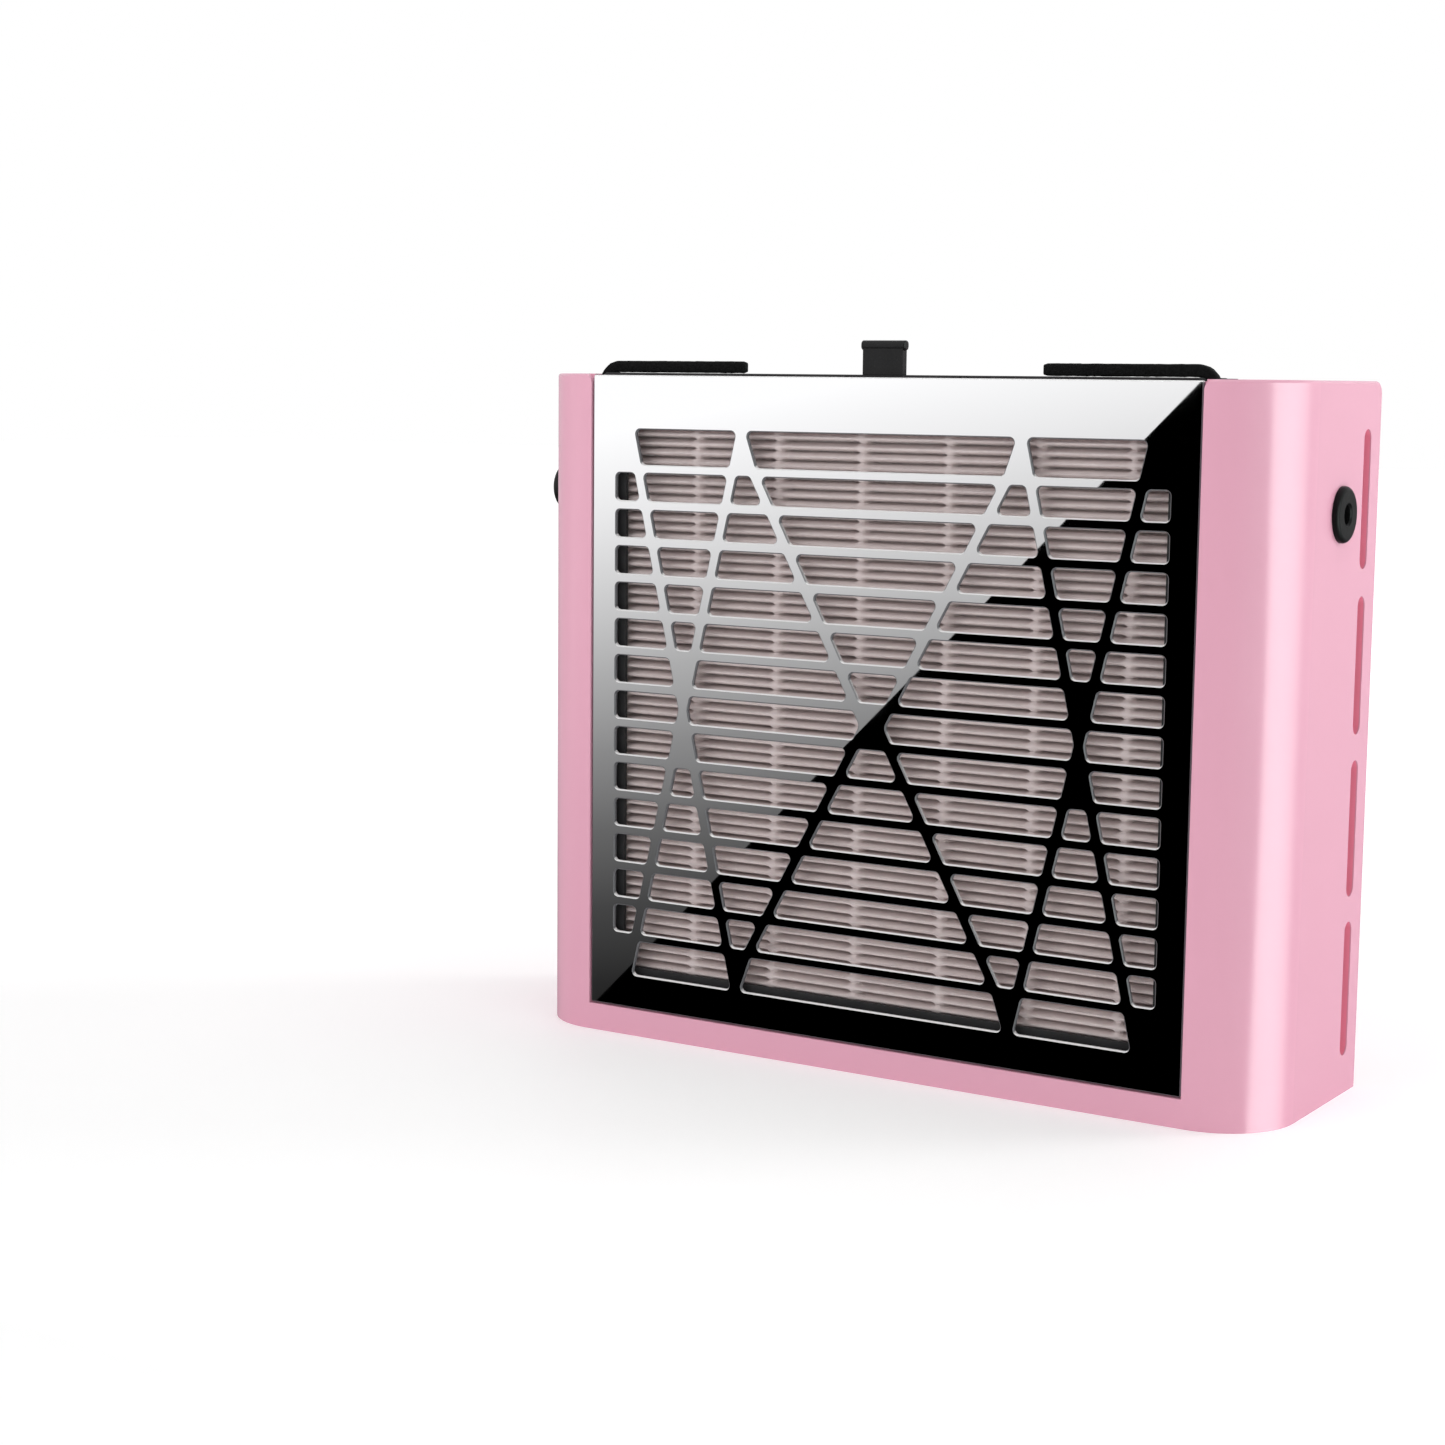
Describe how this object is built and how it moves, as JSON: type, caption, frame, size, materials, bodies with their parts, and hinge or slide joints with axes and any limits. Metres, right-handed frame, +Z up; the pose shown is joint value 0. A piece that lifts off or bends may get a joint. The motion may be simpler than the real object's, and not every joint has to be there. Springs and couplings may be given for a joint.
{
  "type": "nail dust collector",
  "caption": "Desktop nail dust collector: rounded housing, mirror grille crossed by slanted bars, a filter cassette that lifts out of the top, fans, a side speed knob and side exhaust slots.",
  "frame": {"origin": "middle of the housing's flat bottom face", "axes": "+Z up, the mirror grille faces -Y, +X to the right seen from the front (the power inlet's side)"},
  "size_m": [0.28, 0.0772, 0.2257],
  "materials": {
    "pink_plastic": "satin moulded ABS",
    "grille_mirror": "polished mirror sheet",
    "clear_tape": "double-sided tape",
    "black_plastic": "fine matt black",
    "fan_black": "moulded fan plastic",
    "frame_grey": "dark grey card-like plastic",
    "foam_black": "open-cell black foam",
    "filter_white": "pleated non-woven filter paper",
    "glue_white": "hot-melt glue",
    "foot_rubber": "soft rubber",
    "steel": "bright steel",
    "nickel": "nickel plated",
    "magnet": "bonded magnet in a steel ring",
    "copper": "enamelled copper wire",
    "board_green": "solder mask",
    "component_silver": "sleeved can",
    "connector_white": "nylon",
    "lead_black": "sleeved wire"
  },
  "bodies": {
    "housing": {"shell": "pink_plastic", "back_cover": "pink_plastic", "back_cover_screws": "steel", "rubber_feet": "foot_rubber", "mirror_grille": "grille_mirror", "grille_tape": "clear_tape", "fan_deck": "pink_plastic", "fan_deck_screws": "steel", "fan_frame_left": "fan_black", "fan_frame_right": "fan_black", "fan_screws": "steel", "fan_bearings_left": "steel", "fan_bearings_right": "steel", "fan_stator_left": "steel", "fan_stator_right": "steel", "fan_windings_left": "copper", "fan_windings_right": "copper", "fan_lead_left": "lead_black", "fan_lead_right": "lead_black", "power_lead": "lead_black", "pot_lead": "lead_black", "control_board": "board_green", "board_capacitors": "component_silver", "board_connectors": "connector_white", "driver_transistor": "black_plastic", "heat_sink": "component_silver", "board_screws": "steel", "speed_pot": "black_plastic", "pot_washer": "nickel", "pot_nut": "nickel", "dc_jack": "black_plastic", "jack_pin": "nickel", "jack_nut": "black_plastic"},
    "cassette": {"cassette_frame": "frame_grey", "cassette_carton": "frame_grey", "foam_seal": "foam_black", "pleated_filter": "filter_white", "glue_beads": "glue_white", "pull_tab": "black_plastic"},
    "fan_left": {"impeller_left": "fan_black", "rotor_ring_left": "magnet", "fan_shaft_left": "steel"},
    "fan_right": {"impeller_right": "fan_black", "rotor_ring_right": "magnet", "fan_shaft_right": "steel"},
    "knob": {"speed_knob": "black_plastic", "pot_shaft": "nickel"}
  },
  "joints": [
    {"name": "cassette_slide", "type": "slide", "parent": "housing", "child": "cassette", "axis": [0, 0, 1], "range_m": [0, 0.2]},
    {"name": "fan_spin_left", "type": "hinge", "parent": "housing", "child": "fan_left", "pos_m": [-0.0615, 0.0025, 0.1], "axis": [0, 1, 0], "continuous": true},
    {"name": "fan_spin_right", "type": "hinge", "parent": "housing", "child": "fan_right", "pos_m": [0.0615, 0.0025, 0.1], "axis": [0, 1, 0], "continuous": true},
    {"name": "knob_turn", "type": "hinge", "parent": "housing", "child": "knob", "pos_m": [-0.13, 0.007, 0.1765], "axis": [1, 0, 0], "range_deg": [0, 280]}
  ]
}
